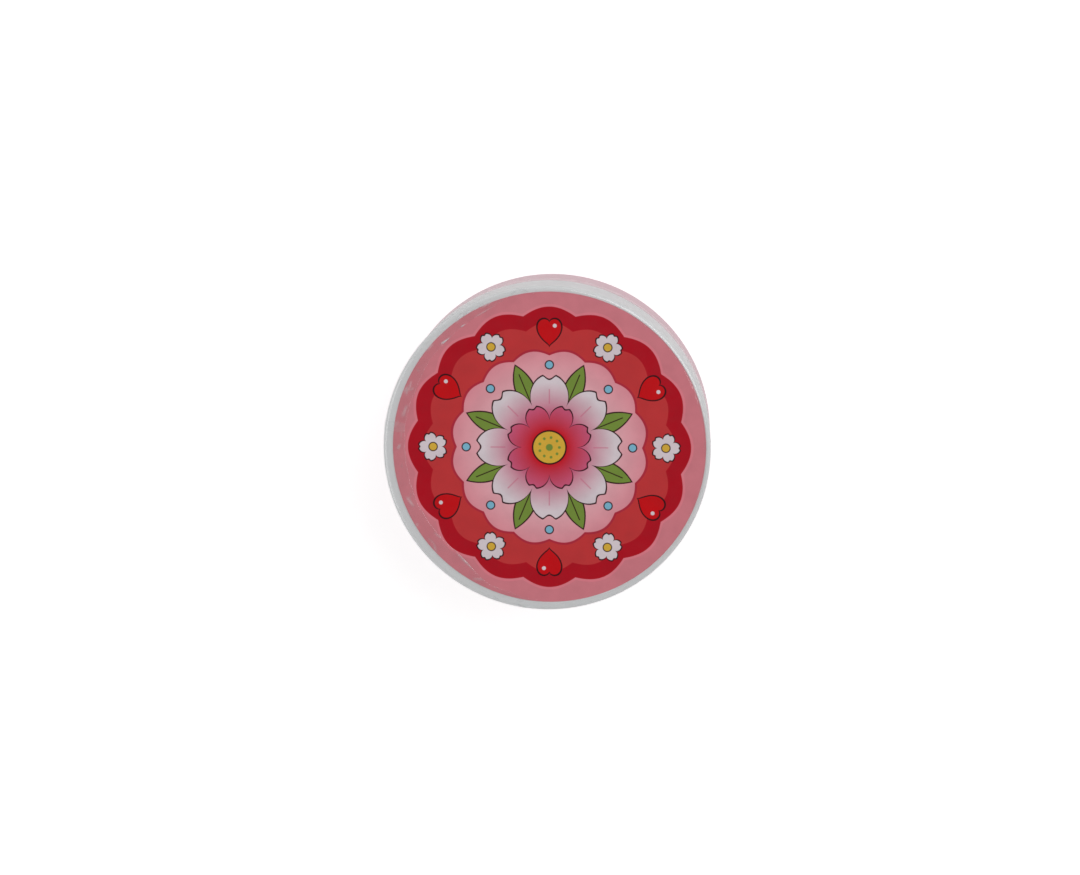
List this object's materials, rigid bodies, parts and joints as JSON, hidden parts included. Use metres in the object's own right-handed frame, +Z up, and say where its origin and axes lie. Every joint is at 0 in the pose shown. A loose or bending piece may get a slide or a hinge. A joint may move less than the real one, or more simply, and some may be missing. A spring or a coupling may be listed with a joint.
{
  "type": "sponge jar",
  "caption": "Flat round double-wall jar with a screw lid, inner sealing disc with pull tab, and a soaked foam sponge with a finger well for taking off nail polish.",
  "frame": {"origin": "centre of the foot ring, on the surface that the jar stands on", "axes": "+Z up along the jar's axis; +Y towards the top of the lid's label"},
  "size_m": [0.0704, 0.0704, 0.0313],
  "materials": {
    "pink_shell": "gloss, slightly translucent",
    "cup_plastic": "satin",
    "base_label": "satin",
    "sponge_foam": "open-cell foam",
    "remover": "clear liquid",
    "clear_film": "clear shrink film",
    "disc_plastic": "natural, satin",
    "liner_foam": "foamed, matte",
    "lid_plastic": "gloss",
    "top_label": "printed, satin film"
  },
  "bodies": {
    "jar": {"outer_shell": "pink_shell", "inner_cup": "cup_plastic", "base_label": "base_label", "sponge": "sponge_foam", "remover_pool": "remover", "shrink_band_lower": "clear_film"},
    "disc": {"sealing_disc": "disc_plastic"},
    "tab": {"disc_tab": "disc_plastic"},
    "liner": {"lid_liner": "liner_foam"},
    "lid": {"lid_shell": "lid_plastic", "lid_insert": "cup_plastic", "top_label": "top_label", "shrink_band_upper": "clear_film"}
  },
  "joints": [
    {"name": "lid_rise", "type": "slide", "parent": "jar", "child": "liner", "axis": [0, 0, 1], "range_m": [0, 0.048]},
    {"name": "lid_turn", "type": "hinge", "parent": "liner", "child": "lid", "pos_m": [0, 0, 0.0284], "axis": [0, 0, 1], "range_deg": [0, 1440]},
    {"name": "disc_lift", "type": "slide", "parent": "jar", "child": "disc", "axis": [0, 0, 1], "range_m": [0, 0.024]},
    {"name": "tab_fold", "type": "hinge", "parent": "disc", "child": "tab", "pos_m": [0, 0.005, 0.02525], "axis": [-1, 0, 0], "range_deg": [0, 80]}
  ],
  "couplings": [
    {"joint": "lid_rise", "follows": "lid_turn", "m_per_rad": 0.0019099},
    {"joint": "disc_lift", "follows": "lid_turn", "m_per_rad": 0.00095493},
    {"joint": "tab_fold", "follows": "lid_turn", "ratio": 0.055556}
  ]
}
